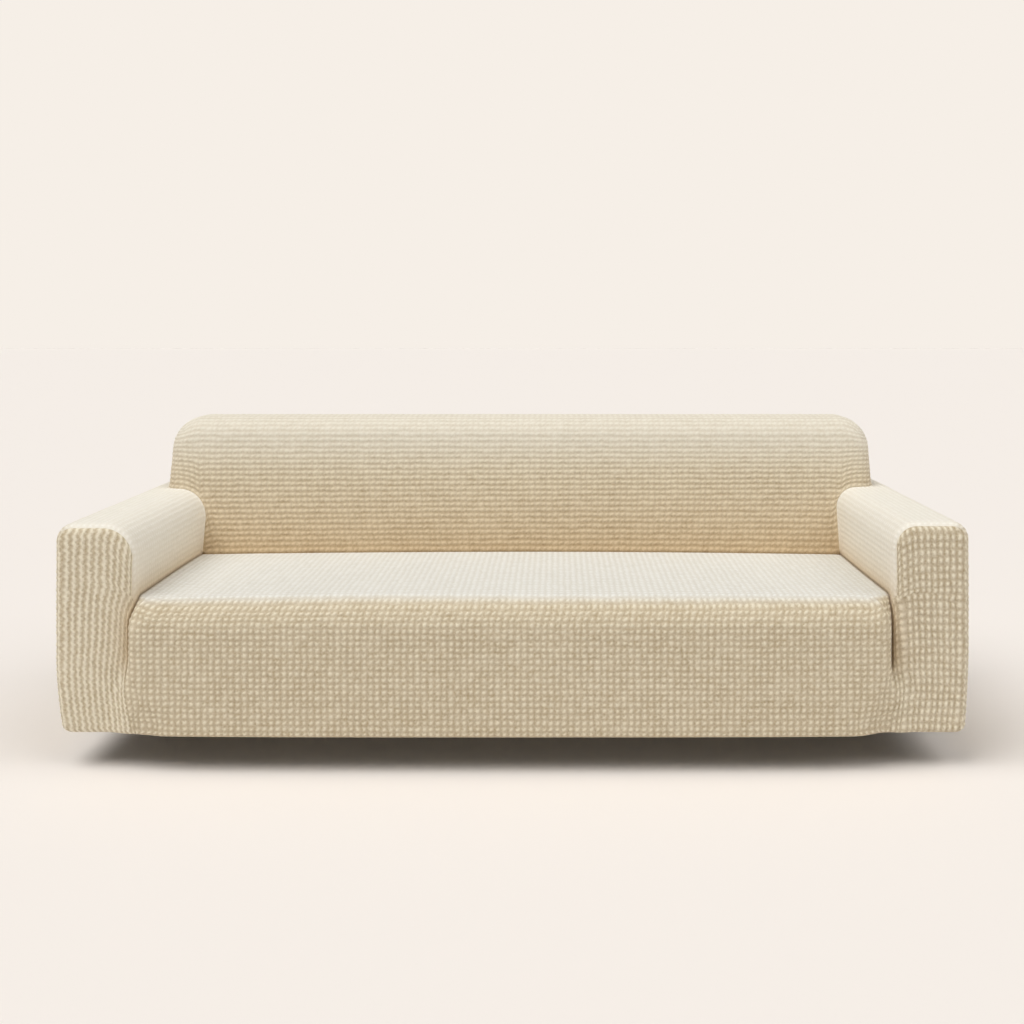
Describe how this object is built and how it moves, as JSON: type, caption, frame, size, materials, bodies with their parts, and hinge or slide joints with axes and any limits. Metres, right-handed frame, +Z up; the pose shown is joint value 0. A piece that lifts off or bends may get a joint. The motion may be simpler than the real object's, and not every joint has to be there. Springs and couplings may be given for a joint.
{
  "type": "sofa slipcover",
  "caption": "Stretch sofa slipcover in puffed cloth, fitted over seat, back and arms, open below, with an elastic hem turned under its lower edge.",
  "frame": {"origin": "centre of the cover's footprint, level with the hem", "axes": "+X to the right as one faces the front of the cover, -Y towards its front, +Z up"},
  "size_m": [2.3, 0.93, 0.7341],
  "materials": {
    "puffed_cloth": "matt puffed stretch cloth, cream"
  },
  "bodies": {
    "root": {"seat_front_panel": "puffed_cloth", "inside_back_panel": "puffed_cloth", "outside_back_panel": "puffed_cloth", "left_arm_panel": "puffed_cloth", "right_arm_panel": "puffed_cloth", "left_arm_front": "puffed_cloth", "right_arm_front": "puffed_cloth"}
  },
  "joints": []
}
